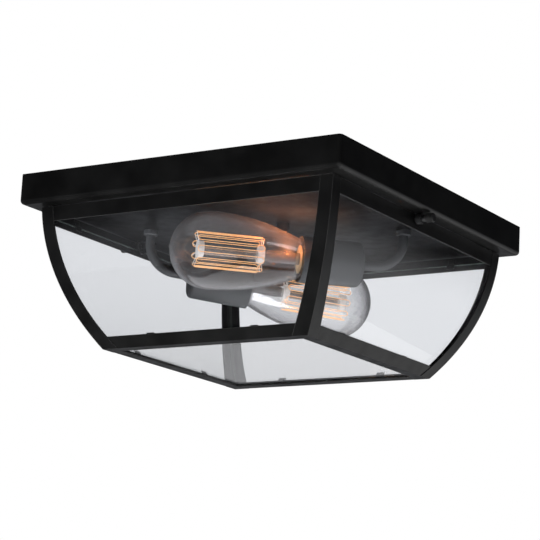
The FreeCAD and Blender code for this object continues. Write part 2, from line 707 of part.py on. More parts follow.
def build_thumbscrew(side, hand):
    """Heights run outwards along the screw, from the middle plane."""
    end = f"({LUG_OUT} - LugSheet - ScrewEndPast)"
    shoulder = f"({BUSH_START} + BushLength)"
    head = f"({shoulder} + ShoulderLength)"
    top = f"({head} + HeadLength)"
    body = turned(f"thumbscrew_{side}_body", [
        ("0", end), ("ScrewRadius", end), ("ScrewRadius", shoulder),
        ("ShoulderRadius", shoulder), ("ShoulderRadius", head),
        ("HeadRadius - HeadChamfer", head), ("HeadRadius", f"{head} + HeadChamfer"),
        ("HeadRadius", f"{top} - HeadChamfer"), ("HeadRadius - HeadChamfer", top),
        ("0", top)])
    groove = body_sketch(body, f"knurl_{side}")
    ring(groove, "KnurlRadius", "HeadRadius")
    first = pocket_through(body, groove)
    round_head = body.newObject("PartDesign::PolarPattern", f"knurl_{side}_pattern")
    round_head.Originals = [first]
    round_head.Axis = (groove, ["N_Axis"])
    round_head.Angle = 360
    bind(round_head, {"Occurrences": "KnurlCount"})
    body.Tip = round_head
    spin = FreeCAD.Rotation(UP, SIDES[side])
    spot = FreeCAD.Vector(0, -hand * size("ScrewOffset"), size(SCREW_LEVEL))
    place = FreeCAD.Placement(spin.multVec(spot), spin.multiply(ACROSS_X))
    done(body, f"thumbscrew_{side}", place)

    bush = turned(f"clamp_bush_{side}_body", [
        ("BushBore", BUSH_START), ("BushRadius", BUSH_START),
        ("BushRadius", shoulder), ("BushBore", shoulder)])
    done(bush, f"clamp_bush_{side}", place)


# ---------------------------------------------------------------- arms and lampholders

def arm_angle(lamp):
    return f"(90 - Droop{lamp.upper()})"


def axis_level(lamp):
    """Rule: level of a lamp's axis at its cup's back; a level bulb would clear the pan."""
    return f"(-PanDepth - BulbClear - BulbRadius - AxisStep{lamp.upper()})"


def build_arm(lamp, points_to):
    """A tube: straight down from the pan, one bend, straight into the cup's back."""
    bend = arm_angle(lamp)
    top = "(-PanDepth + PanSheet + ArmTopPast)"
    level_run = f"((ArmBase - CupBack - ArmBend * (1 - cos({bend}))) / sin({bend}))"
    bend_start = f"({axis_level(lamp)} + {level_run} * cos({bend}) + ArmBend * sin({bend}))"
    bend_x = f"(ArmBend * (1 - cos({bend})))"
    bend_z = f"({bend_start} - ArmBend * sin({bend}))"
    run = f"({level_run} + ArmInside)"

    body = new_body(f"arm_{lamp}_body")
    path = body_sketch(body, f"arm_{lamp}_path", "XZ_Plane")
    draw(path, [("0", top), ("0", bend_start, "ArmBend", "left"), (bend_x, bend_z),
                (f"{bend_x} + {run} * sin({bend})", f"{bend_z} - {run} * cos({bend})")],
         closed=False)
    section = body_sketch(body, f"arm_{lamp}_section", lift=top)
    ring(section, "ArmRadius")
    ring(section, "ArmRadius - ArmWall")
    doc.recompute()
    pipe = body.newObject("PartDesign::AdditivePipe", f"arm_{lamp}_tube")
    pipe.Profile = section
    pipe.Spine = (path, [f"Edge{n}" for n in (1, 2, 3)])
    x, y = arm_feet()[lamp]
    turn = FreeCAD.Rotation(UP, points_to + size("LampAngle"))
    place = FreeCAD.Placement(FreeCAD.Vector(size(x), size(y), 0), turn)
    done(body, f"arm_{lamp}", place)


def hex_nut(name, base, turn=FLAT):
    nut = doc.addObject("Part::Prism", name + "_blank")
    nut.Polygon = 6
    nut.Placement = FreeCAD.Placement(FreeCAD.Vector(), FLAT)
    bind(nut, {"Circumradius": "NutRadius", "Height": "NutHeight"})
    hole = rod(name + "_hole", "ArmRadius + NutFit", "NutHeight")
    made = cut(name, nut, hole)
    made.Placement = FreeCAD.Placement(base, turn)
    return made


def build_arm_fittings():
    collars, nuts = [], []
    for lamp, (x, y) in arm_feet().items():
        collar = turned(f"collar_{lamp}", [
            ("ArmRadius + ArmHolePlay", "-PanDepth"),
            ("ArmRadius + ArmHolePlay", "-PanDepth - CollarHeight"),
            ("CollarRadius - CollarBevel", "-PanDepth - CollarHeight"),
            ("CollarRadius", "-PanDepth - CollarHeight + CollarBevel"),
            ("CollarRadius", "-PanDepth")])
        bind(collar, {"Placement.Base.x": x, "Placement.Base.y": y})
        collars.append(collar)
        above = FreeCAD.Vector(size(x), size(y), size("-PanDepth + PanSheet"))
        nuts.append(hex_nut(f"arm_nut_{lamp}", above))
    done(group("collar_pair", collars), "arm_collars")
    done(group("arm_nut_pair", nuts), "arm_nuts")


def lamp_place(lamp, points_to):
    """Frame at the middle of the cup's back: upright axis points out of the cup."""
    droop = size(f"Droop{lamp.upper()}")
    spot = lamp_spot(*{"a": ("CupBack", "LampSpacing / 2"),
                       "b": ("-CupBack", "-LampSpacing / 2")}[lamp])
    base = FreeCAD.Vector(size(spot[0]), size(spot[1]), size(axis_level(lamp)))
    level = FreeCAD.Rotation(UP, points_to + size("LampAngle"))
    tip_over = FreeCAD.Rotation(FreeCAD.Vector(0, 1, 0), 90 + droop)
    return FreeCAD.Placement(base, level.multiply(tip_over))


def build_cup(lamp, place):
    hole = "ArmRadius + ArmHolePlay"
    inner_round = "CupRound - CupSheet"
    cup = turned(f"socket_cup_{lamp}_body", [
        (hole, "0"), ("CupBackRadius - CupRound", "0", "CupRound", "left"),
        ("CupBackRadius", "CupRound"), ("CupMouthRadius", "CupLength"),
        ("CupMouthRadius - CupSheet", "CupLength"),
        ("CupBackRadius - CupSheet", "CupRound", inner_round, "right"),
        ("CupBackRadius - CupRound", "CupSheet"), (hole, "CupSheet")])
    done(cup, f"socket_cup_{lamp}", place)


BODY_START = "(CupSheet + NutHeight + BodyGap)"
BODY_BACK = f"({BODY_START} + BodyNeck)"
BORE_FLOOR = f"({BODY_BACK} + BodyFloor)"
BODY_RADIUS = "(CupBackRadius - CupSheet - BodyPlay)"
SHELL_BORE = "(BaseRadius + ShellPlay)"
CONTACT_TOP = f"({BORE_FLOOR} + ContactHeight)"
BASE_LENGTH = "(TipHeight + InsulatorLength + ThreadCount * ThreadPitch + BaseSkirt)"
BULB_SEAT = f"({CONTACT_TOP} + TipGap + {BASE_LENGTH})"
BODY_END = f"({BULB_SEAT} - MouthGap)"
TERMINAL_DEPTH = "(BodyFloor - TerminalFloor)"
TERMINAL_OFFSET = "(BodyNeckRadius + TerminalGap + TerminalHeadRadius)"


def build_lampholder(lamp, place):
    arm_hole = "ArmRadius + NutFit"
    shell_out = f"({SHELL_BORE} + ShellSheet)"
    ceramic = turned(f"ceramic_{lamp}", [
        (arm_hole, BODY_START), ("BodyNeckRadius", BODY_START),
        ("BodyNeckRadius", BODY_BACK), (BODY_RADIUS, BODY_BACK),
        (BODY_RADIUS, BODY_END), (f"{shell_out} + BodyFit", BODY_END),
        (f"{shell_out} + BodyFit", BORE_FLOOR), ("0", BORE_FLOOR),
        ("0", "ArmInside + NutFit"), (arm_hole, "ArmInside + NutFit")])
    holes = [rod(f"terminal_hole_{lamp}_{n}", "TerminalRadius + StudFit", TERMINAL_DEPTH,
                 (f"{sign} * {TERMINAL_OFFSET}", "0", BODY_BACK))
             for n, sign in enumerate((1, -1), start=1)]
    body = cut(f"socket_body_{lamp}_cut", ceramic, fuse(f"terminal_holes_{lamp}", holes))
    done(body, f"socket_body_{lamp}", place)

    shell = turned(f"screw_shell_{lamp}_body", [
        (SHELL_BORE, BORE_FLOOR), (shell_out, BORE_FLOOR),
        (shell_out, BODY_END), (SHELL_BORE, BODY_END)])
    done(shell, f"screw_shell_{lamp}", place)
    build_contact(lamp, place)


def build_contact(lamp, place):
    """A sprung brass strip: a foot, a riser and a tongue under the bulb's tip."""
    foot, half = "-ContactLength / 2", "ContactWidth / 2"
    strip = fuse(f"contact_{lamp}", [
        block(f"contact_{lamp}_foot", (foot, f"-{half}", BORE_FLOOR),
              ("ContactLength / 2", half, f"{BORE_FLOOR} + ContactSheet")),
        block(f"contact_{lamp}_riser", (foot, f"-{half}", BORE_FLOOR),
              (f"{foot} + ContactSheet", half, CONTACT_TOP)),
        block(f"contact_{lamp}_tongue",
              (foot, f"-{half}", f"{CONTACT_TOP} - ContactSheet"),
              (half, half, CONTACT_TOP))])
    done(strip, f"centre_contact_{lamp}", place)


def build_lampholder_fasteners(places):
    nuts, screws = [], []
    for lamp, place in places.items():
        lifted = place.multiply(FreeCAD.Placement(
            FreeCAD.Vector(0, 0, size("CupSheet")), FLAT))
        nuts.append(hex_nut(f"socket_nut_{lamp}", lifted.Base, lifted.Rotation))
        for n, sign in enumerate((1, -1), start=1):
            x = f"{sign} * {TERMINAL_OFFSET}"
            screw = fuse(f"terminal_{lamp}_{n}", [
                rod(f"terminal_{lamp}_{n}_head", "TerminalHeadRadius", "TerminalHead",
                    (x, "0", f"{BODY_BACK} - TerminalHead")),
                rod(f"terminal_{lamp}_{n}_shank", "TerminalRadius", TERMINAL_DEPTH,
                    (x, "0", BODY_BACK))])
            screw.Placement = place
            screws.append(screw)
    done(group("socket_nut_pair", nuts), "socket_nuts")
    done(group("terminal_set", screws), "terminal_screws")


# ---------------------------------------------------------------- bulbs

BULB_END = f"({BULB_SEAT} + BulbLength)"
BULB_WIDEST = f"({BULB_END} - BulbRadius)"
THREAD_TOP = f"({BULB_SEAT} - BaseSkirt)"
GLASS_LOW = f"({THREAD_TOP} + BaseSheet + NeckClear)"
GLASS_START = f"({BULB_SEAT} + NeckStep)"
FLARE_RUN = f"({BULB_WIDEST} - {GLASS_START})"
FLARE_FALL = "(BulbRadius - BulbNeckRadius)"
FLARE_RADIUS = f"(({FLARE_RUN}^2 + {FLARE_FALL}^2) / (2 * {FLARE_FALL}))"
NECK_RADIUS = "(BaseRadius - BaseSheet - NeckFit)"
HUB_Z = f"({BULB_END} - HubTop)"
STEM_TOP = f"({BULB_SEAT} + StemLength)"


def build_bulb_glass(lamp, place):
    """A drop: round end, one long curve to the neck, which tucks into the base."""
    wall = "BulbGlassSheet"
    pip_level = f"({BULB_WIDEST} + sqrt(BulbRadius^2 - PipRadius^2))"
    inner_end = f"(BulbRadius - {wall})"
    inner_flare = f"({FLARE_RADIUS} - {wall})"
    inner_neck = (f"(BulbRadius - {FLARE_RADIUS}"
                  f" + sqrt({inner_flare}^2 - {FLARE_RUN}^2))")
    glass = turned(f"bulb_glass_{lamp}_body", [
        (NECK_RADIUS, GLASS_LOW), (NECK_RADIUS, BULB_SEAT),
        ("BulbNeckRadius", GLASS_START, FLARE_RADIUS, "left"),
        ("BulbRadius", BULB_WIDEST, "BulbRadius", "left"),
        ("PipRadius", pip_level), ("PipEndRadius", f"{BULB_END} + PipHeight"),
        ("0", f"{BULB_END} + PipHeight"),
        ("0", f"{BULB_WIDEST} + {inner_end}", inner_end, "right"),
        (inner_end, BULB_WIDEST, inner_flare, "right"),
        (inner_neck, GLASS_START),
        (f"{NECK_RADIUS} - {wall}", BULB_SEAT), (f"{NECK_RADIUS} - {wall}", GLASS_LOW)])
    done(glass, f"bulb_glass_{lamp}", place)


def build_bulb_base(lamp, place):
    """Threaded brass shell, its glass insulator and the solder contact."""
    crest, root = "BaseRadius", "(BaseRadius - ThreadDepth)"
    bend = f"({THREAD_TOP} + BaseSheet)"
    outside = [(crest, BULB_SEAT), (crest, bend), (root, THREAD_TOP)]
    for n in range(int(size("ThreadCount"))):
        outside.append((crest, f"({THREAD_TOP} - ({n} + 0.5) * ThreadPitch)"))
        outside.append((root, f"({THREAD_TOP} - ({n} + 1) * ThreadPitch)"))
    inside = [(f"{radius} - BaseSheet", level) for radius, level in outside[::-1]]
    done(turned(f"bulb_base_{lamp}_body", outside + inside), f"bulb_base_{lamp}", place)

    low = f"({THREAD_TOP} - ThreadCount * ThreadPitch)"
    rim = f"({root} - BaseSheet - InsulatorFit)"
    rim_top = f"({low} + InsulatorTuck)"
    tip_top = f"({low} - InsulatorLength)"
    insulator = turned(f"bulb_insulator_{lamp}_body", [
        ("0", rim_top), (rim, rim_top), (rim, low), ("TipRadius", tip_top), ("0", tip_top)])
    done(insulator, f"bulb_insulator_{lamp}", place)
    tip = turned(f"bulb_tip_{lamp}_body", [
        ("0", tip_top), ("TipRadius", tip_top),
        ("TipFaceRadius", f"{tip_top} - TipHeight"), ("0", f"{tip_top} - TipHeight")])
    done(tip, f"bulb_tip_{lamp}", place)


def build_bulb_stem(lamp, place):
    """The flared tube sealed in the neck, its press and the rod up the middle."""
    flare = f"({NECK_RADIUS} - BulbGlassSheet - StemGap)"
    flare_low = f"({GLASS_LOW} + StemTuck)"
    stem = turned(f"bulb_stem_{lamp}_body", [
        ("0", flare_low), (flare, flare_low), (flare, f"{flare_low} + FlareRim"),
        ("StemRadius", f"{flare_low} + FlareRise"), ("StemRadius", f"{STEM_TOP} - PressLength"),
        ("StemRod", STEM_TOP), ("StemRod", HUB_Z), ("0", HUB_Z)])
    done(stem, f"bulb_stem_{lamp}", place)


def hook_ring(name, level, shift, rise):
    """A ceramic hub with hooks like spokes, each aimed at a bend of the wire."""
    hub = rod(f"{name}_hub", "HubRadius", "HubHeight", ("0", "0", level))
    middle = f"({level} + HubHeight / 2)"
    length = f"sqrt(HookReach^2 + ({rise})^2) - FilamentRadius - HookRadius"
    spokes = []
    for n in range(int(size("HookCount"))):
        spoke = rod(f"{name}_hook_{n}", "HookRadius", length, ("0", "0", middle))
        angle = math.radians((n + shift) * 360 / size("HookCount"))
        bend = FreeCAD.Vector(size("HookReach") * math.cos(angle),
                              size("HookReach") * math.sin(angle), size(rise))
        spoke.Placement.Rotation = FreeCAD.Rotation(UP, bend)
        spokes.append(spoke)
    return fuse(name, [hub] + spokes), size(f"{middle} + ({rise})")


def build_filament(lamp, place):
    """Upper and lower supports, and one wire zigzagging between their hooks."""
    upper, high = hook_ring(f"support_{lamp}_upper", HUB_Z, 0, "UpperHookRise")
    lower, low = hook_ring(f"support_{lamp}_lower", STEM_TOP, 0.5, "-LowerHookRise")
    bore = rod(f"support_{lamp}_bore", "StemRod + HubFit", "BulbLength",
               ("0", "0", BULB_SEAT))
    lower = cut(f"support_{lamp}_lower_bored", lower, bore)
    done(group(f"support_{lamp}", [upper, lower]), f"filament_support_{lamp}", place)

    count = int(size("HookCount"))
    radius, wire = size("HookReach"), size("FilamentRadius")
    knots = []
    for n in range(2 * count):
        angle = math.radians(n * 180 / count)
        level = high if n % 2 == 0 else low
        knots.append(FreeCAD.Vector(radius * math.cos(angle), radius * math.sin(angle), level))
    solids = []
    for a, b in zip(knots, knots[1:]):
        solids.append(Part.makeCylinder(wire, (b - a).Length, a, b - a))
        solids.append(Part.makeSphere(wire, b))
    wire_shape = Part.makeSphere(wire, knots[0]).fuse(solids)
    filament = doc.addObject("Part::Feature", f"filament_{lamp}_wire")
    filament.Shape = wire_shape
    done(filament, f"filament_{lamp}", place)


# ---------------------------------------------------------------- whole

def build_all():
    fill_sheet()
    build_pan()
    build_crossbar()
    build_studs_and_nuts()
    build_ground_screw()
    build_posts()
    build_top_rails()
    build_bottom_rails()
    build_glass()
    build_bottom_clips()
    build_top_clips()
    for side, hand in (("right", 1), ("left", -1)):
        build_lug(side, hand)
        build_thumbscrew(side, hand)
    build_arm_fittings()
    places = {}
    for lamp, points_to in LAMPS.items():
        build_arm(lamp, points_to)
        place = places[lamp] = lamp_place(lamp, points_to)
        build_cup(lamp, place)
        build_lampholder(lamp, place)
        build_bulb_glass(lamp, place)
        build_bulb_base(lamp, place)
        build_bulb_stem(lamp, place)
        build_filament(lamp, place)
    build_lampholder_fasteners(places)
    doc.recompute()


def check_all():
    faults = [thing.Name for thing in doc.Objects
              if "Invalid" in thing.State or "Error" in thing.State]
    faults += [piece.Label for piece in pieces
               if piece.Shape.isNull() or not piece.Shape.isValid()
               or not piece.Shape.Solids]
    if faults:
        sys.exit("faulty: " + ", ".join(faults))


def export_all():
    os.makedirs("parts", exist_ok=True)
    for piece in pieces:
        piece.Shape.exportStep(f"parts/{piece.Label}.step")
    print(len(pieces), "pieces written")


build_all()
check_all()
export_all()
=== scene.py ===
import json
import math

import bpy
from mathutils import Matrix, Vector


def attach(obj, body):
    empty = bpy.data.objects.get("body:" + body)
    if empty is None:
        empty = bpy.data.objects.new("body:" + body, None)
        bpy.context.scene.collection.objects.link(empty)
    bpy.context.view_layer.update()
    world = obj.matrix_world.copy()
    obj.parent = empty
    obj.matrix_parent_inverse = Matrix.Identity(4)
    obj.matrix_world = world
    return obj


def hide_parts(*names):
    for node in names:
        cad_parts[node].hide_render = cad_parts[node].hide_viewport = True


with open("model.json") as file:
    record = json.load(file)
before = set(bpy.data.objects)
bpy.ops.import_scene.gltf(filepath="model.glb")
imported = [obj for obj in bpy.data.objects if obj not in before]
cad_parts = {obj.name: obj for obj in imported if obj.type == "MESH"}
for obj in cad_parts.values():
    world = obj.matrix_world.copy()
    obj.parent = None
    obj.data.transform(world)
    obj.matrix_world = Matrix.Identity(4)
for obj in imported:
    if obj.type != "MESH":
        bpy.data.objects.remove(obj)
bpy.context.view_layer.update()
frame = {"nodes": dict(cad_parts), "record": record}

# Porch ceiling lantern, hung from a ceiling at z = 0 and seen from below.
# Metres. The front is the -Y side.

# ------------------------------------------------------------------ view
CAMERA_PLACE = Vector((0.9162, -1.4079, -0.4380))
CAMERA_AZIMUTH = math.radians(33.16)
CAMERA_RISE = math.radians(12.71)
CAMERA_ROLL = math.radians(3.05)
FOCAL_LENGTH_MM = 137.6
SENSOR_MM = 36.0

# ------------------------------------------------------------------ surroundings
WHITE = (1.0, 1.0, 1.0, 1.0)
BRIGHT_SIDE = Vector((1.0, 0.0, 0.0))
FLOOR_LEVEL = -2.4
FLOOR_HALF = 6.0
FLOOR_COLOUR = (0.86, 0.86, 0.86, 1.0)
FLOOR_ROUGHNESS = 0.9
FLOOR_WHITE = 0.9                    # share of plain white over the floor as it is seen
FLOOR_BAND = (-1.3, 1.2)             # its mirrored part whitens over this, to the bright side
SIDE_BAND = (-0.5, 0.5)              # from the sky's dull side to its bright side
SKY_BAND = (0.10, -0.12)             # from the sky above to the sky below
SKY_ABOVE = (0.025, 0.025, 0.027)
SKY_DULL = (0.24, 0.245, 0.26)
SKY_BRIGHT = (0.52, 0.525, 0.54)
SKY_STRENGTH = 1.0
SOFT_LAMPS = [
    # name, place, width, watts
    ("soft_front", (-0.5, -1.3, -1.5), 1.4, 42.0),
    ("soft_right", (1.6, -0.5, -1.4), 1.2, 5.0),
    ("soft_above", (-0.6, 0.9, 1.6), 1.8, 16.0),
]

# warm glow on the plate
GLOW_WATTS = 1.0
GLOW_COLOUR = (1.0, 0.30, 0.09)
GLOW_CONE = math.radians(150)
GLOW_RADIUS = 0.012
GLOW_PLACE = Vector((0.044, -0.049, -0.060))
GLOW_WAY = Vector((0.0, 0.0, 1.0))

# ------------------------------------------------------------------ lamps' insides
# each lamp's axis starts at the back of its cup and runs to the bulb's end
LAMP_STARTS = {"a": (0.0757, 0.0134, -0.0580), "b": (-0.0757, -0.0134, -0.0612)}
LAMP_WAYS = {"a": (-0.70711, -0.70711, 0.0), "b": (0.70483, 0.70483, -0.0802)}
# filaments, with levels measured along the lamp's axis
HOOKS = 9
CAGE_RADIUS = 0.0145
LEAD_RADIUS = 0.0072
WIRE_RADIUS = 0.00032
WIRE_SIDES = 8
UPPER_TIP = 0.1380
LOWER_TIP = 0.0832
BEND_STEPS = 10
# neck discs
DISC_LEVEL = 0.0515
DISC_INNER_RADIUS = 0.0051
DISC_OUTER_RADIUS = 0.0118
DISC_THICKNESS = 0.0004
DISC_DOMING = 0.0008
DISC_STEPS = 48

# ------------------------------------------------------------------ surface detail
# noise scales are in cells a metre; a relief is a strength and a depth in metres;
# a swing of roughness is added to the material's own
NOISE_DETAIL = 3.0
NOISE_SPAN = (0.3, 0.7)
EDGE_SAMPLES = 4
EDGE_BAND = (0.99, 0.80)             # from a flat face to an edge, as a dot product
PAINT_CLOUDS = 35.0
PAINT_PATCHES = 90.0
PAINT_SWING = (-0.05, 0.07)
PAINT_GRAIN = 2600.0
PAINT_GRAIN_DETAIL = 2.0
PAINT_RELIEF = (0.18, 0.00012)
METAL_CLOUDS = 120.0
METAL_SCRATCHES = 420.0
METAL_FINE_SCRATCHES = 1680.0
METAL_SWING = (-0.08, 0.1)
METAL_RELIEF = (0.15, 0.00008)
MATT_CLOUDS = 200.0
MATT_PATCHES = 300.0
MATT_GRAIN = 900.0
MATT_SWING = (-0.08, 0.08)
MATT_RELIEF = (0.2, 0.0001)
GLASS_WAVE_DETAIL = 1.0
GLASS_WAVE_DEPTH = 0.0002
THICK_IOR = 1.25
VEIL_COLOUR = (0.85, 0.85, 0.87, 1.0)
CUT_EDGE_ROUGHNESS = 0.3


# ------------------------------------------------------------------ objects

def put(name, data):
    """A new object in the scene."""
    thing = bpy.data.objects.new(name, data)
    bpy.context.scene.collection.objects.link(thing)
    return thing


def mesh_piece(name, spots, faces):
    mesh = bpy.data.meshes.new(name)
    mesh.from_pydata(spots, [], faces)
    return put(name, mesh)


def put_lamp(name, kind, place, way, watts):
    """A lamp that shines along its way and isn't mirrored itself."""
    data = bpy.data.lights.new(name, kind)
    data.energy = watts
    lamp = put(name, data)
    lamp.location = place
    lamp.rotation_euler = way.to_track_quat("-Z", "Y").to_euler()
    lamp.visible_glossy = False
    return data


# ------------------------------------------------------------------ node helpers

def blank_material(name):
    """A material with only its output and its surface shader."""
    material = bpy.data.materials.new(name)
    material.use_nodes = True
    tree = material.node_tree
    return material, tree, tree.nodes["Principled BSDF"]


def add(tree, kind, inputs=None, **settings):
    """A node with its properties, its plain inputs and what feeds its other inputs."""
    node = tree.nodes.new(kind)
    for name, value in settings.items():
        setattr(node, name, value)
    for name, value in (inputs or {}).items():
        if isinstance(value, bpy.types.NodeSocket):
            tree.links.new(value, node.inputs[name])
        else:
            node.inputs[name].default_value = value
    return node


def place_of(tree):
    return tree.nodes.new("ShaderNodeTexCoord").outputs["Object"]


def noise(tree, scale, detail=NOISE_DETAIL):
    return add(tree, "ShaderNodeTexNoise",
               {"Vector": place_of(tree), "Scale": scale, "Detail": detail}).outputs["Fac"]


def spread(tree, value, low, high):
    """A noise value stretched to run from low to high."""
    return add(tree, "ShaderNodeMapRange",
               {"Value": value, "From Min": NOISE_SPAN[0], "From Max": NOISE_SPAN[1],
                "To Min": low, "To Max": high}).outputs["Result"]


def soft_step(tree, value, band):
    """0 to 1, softly, as the value crosses a band."""
    return add(tree, "ShaderNodeMapRange",
               {"Value": value, "From Min": band[0], "From Max": band[1]},
               interpolation_type="SMOOTHSTEP").outputs["Result"]


def tinted(tree, mask, dark, light):
    """A colour between two by a mask."""
    ramp = tree.nodes.new("ShaderNodeValToRGB")
    tree.links.new(mask, ramp.inputs["Fac"])
    ramp.color_ramp.elements[0].color = (*dark, 1.0)
    ramp.color_ramp.elements[1].color = (*light, 1.0)
    return ramp.outputs["Color"]


def maths(tree, operation, first, second):
    """A math node's value. The second number may be fed or plain."""
    node = add(tree, "ShaderNodeMath", operation=operation)
    tree.links.new(first, node.inputs[0])
    if isinstance(second, bpy.types.NodeSocket):
        tree.links.new(second, node.inputs[1])
    else:
        node.inputs[1].default_value = second
    return node.outputs["Value"]


def blend(tree, share, first, second):
    """A share of the second shader over the first."""
    mix = add(tree, "ShaderNodeMixShader", {"Fac": share})
    tree.links.new(first, mix.inputs[1])
    tree.links.new(second, mix.inputs[2])
    return mix.outputs["Shader"]


def relief(tree, height, strength, depth):
    """A bump node; its normal is outputs["Normal"]."""
    return add(tree, "ShaderNodeBump",
               {"Strength": strength, "Distance": depth, "Height": height})


def swing(tree, shader, scale, rough, steps):
    """Roughness that wanders round its own value."""
    tree.links.new(spread(tree, noise(tree, scale), rough + steps[0], rough + steps[1]),
                   shader.inputs["Roughness"])


def edge_mask(tree, radius):
    """1 on edges: where the rounded normal leaves the true one."""
    rounded = add(tree, "ShaderNodeBevel", {"Radius": radius}, samples=EDGE_SAMPLES)
    true = tree.nodes.new("ShaderNodeNewGeometry")
    dot = add(tree, "ShaderNodeVectorMath", operation="DOT_PRODUCT")
    tree.links.new(rounded.outputs["Normal"], dot.inputs[0])
    tree.links.new(true.outputs["Normal"], dot.inputs[1])
    mask = add(tree, "ShaderNodeMapRange",
               {"Value": dot.outputs["Value"], "From Min": EDGE_BAND[0],
                "From Max": EDGE_BAND[1]})
    return mask.outputs["Result"], rounded.outputs["Normal"]


# ------------------------------------------------------------------ materials

def paint(name, dark, light, rough, sheen, cloudy=0.35, edge_radius=0.0006):
    """Powder coat: fine grain, uneven sheen, and edges tinted lighter as a painted highlight.
    """
    material, tree, shader = blank_material(name)
    shader.inputs["Specular IOR Level"].default_value = sheen
    edges, rounded = edge_mask(tree, edge_radius)
    cloud = spread(tree, noise(tree, PAINT_CLOUDS), 0.0, cloudy)
    # painted highlight: the edges take the lighter colour; the clouds add an uneven lighter
    # tone
    mask = maths(tree, "MAXIMUM", edges, cloud)
    tree.links.new(tinted(tree, mask, dark, light), shader.inputs["Base Color"])
    swing(tree, shader, PAINT_PATCHES, rough, PAINT_SWING)
    grain = relief(tree, noise(tree, PAINT_GRAIN, PAINT_GRAIN_DETAIL), *PAINT_RELIEF)
    tree.links.new(rounded, grain.inputs["Normal"])
    tree.links.new(grain.outputs["Normal"], shader.inputs["Normal"])
    return material


def metal(name, dark, light, rough):
    """Bare or plated metal with fine scratches and a cloudy sheen."""
    material, tree, shader = blank_material(name)
    shader.inputs["Metallic"].default_value = 1.0
    cloud = spread(tree, noise(tree, METAL_CLOUDS), 0.0, 1.0)
    tree.links.new(tinted(tree, cloud, dark, light), shader.inputs["Base Color"])
    swing(tree, shader, METAL_SCRATCHES, rough, METAL_SWING)
    scratches = relief(tree, noise(tree, METAL_FINE_SCRATCHES), *METAL_RELIEF)
    tree.links.new(scratches.outputs["Normal"], shader.inputs["Normal"])
    return material


def solid(name, dark, light, rough, emission=None):
    """Ceramic, nylon or glowing carbon: matt, with a fine grain."""
    material, tree, shader = blank_material(name)
    cloud = spread(tree, noise(tree, MATT_CLOUDS), 0.0, 1.0)
    colour = tinted(tree, cloud, dark, light)
    tree.links.new(colour, shader.inputs["Base Color"])
    swing(tree, shader, MATT_PATCHES, rough, MATT_SWING)
    grain = relief(tree, noise(tree, MATT_GRAIN), *MATT_RELIEF)
    tree.links.new(grain.outputs["Normal"], shader.inputs["Normal"])
    if emission is not None:
        tree.links.new(colour, shader.inputs["Emission Color"])
        shader.inputs["Emission Strength"].default_value = emission
    return material


def wavy(tree, wave):
    """A bump node for uneven glass; wave is its scale and its strength."""
    scale, strength = wave
    return relief(tree, noise(tree, scale, GLASS_WAVE_DETAIL), strength, GLASS_WAVE_DEPTH)


def refracting(name, tint, wave):
    """Thick clear glass with a faint unevenness of its surface."""
    material, tree, shader = blank_material(name)
    shader.inputs["Base Color"].default_value = (*tint, 1.0)
    shader.inputs["Transmission Weight"].default_value = 1.0
    shader.inputs["IOR"].default_value = THICK_IOR
    shader.inputs["Roughness"].default_value = 0.0
    tree.links.new(wavy(tree, wave).outputs["Normal"], shader.inputs["Normal"])
    return material


def thin(name, clear, rim, mirror, power=5.0, rough=0.02, veil=0.0, wave=None, edge=None):
    """Thin clear glass: it lets light straight through, and mirrors more when seen
    from the side. Its rim takes a deeper tint. A veil turns a share of what it mirrors
    to dull white, and an edge is the width and colour of its cut edges."""
    material, tree, shader = blank_material(name)
    tree.nodes.remove(shader)
    layer = tree.nodes.new("ShaderNodeLayerWeight")
    gloss = add(tree, "ShaderNodeBsdfGlossy", {"Roughness": rough})
    if wave is not None:
        waves = wavy(tree, wave)
        tree.links.new(waves.outputs["Normal"], layer.inputs["Normal"])
        tree.links.new(waves.outputs["Normal"], gloss.inputs["Normal"])
    grazing = maths(tree, "POWER", layer.outputs["Facing"], power)
    mirrored = add(tree, "ShaderNodeMapRange",
                   {"Value": grazing, "To Min": mirror, "To Max": 1.0}).outputs["Result"]
    seen_through = add(tree, "ShaderNodeBsdfTransparent",
                       {"Color": tinted(tree, grazing, clear, rim)})
    dull = add(tree, "ShaderNodeBsdfDiffuse", {"Color": VEIL_COLOUR})
    back = blend(tree, veil, gloss.outputs["BSDF"], dull.outputs["BSDF"])
    surface = blend(tree, mirrored, seen_through.outputs["BSDF"], back)
    if edge is not None:
        width, colour = edge
        edges, _ = edge_mask(tree, width)
        cut = add(tree, "ShaderNodeBsdfPrincipled",
                  {"Base Color": (*colour, 1.0), "Roughness": CUT_EDGE_ROUGHNESS})
        surface = blend(tree, edges, surface, cut.outputs["BSDF"])
    tree.links.new(surface, tree.nodes["Material Output"].inputs["Surface"])
    return material


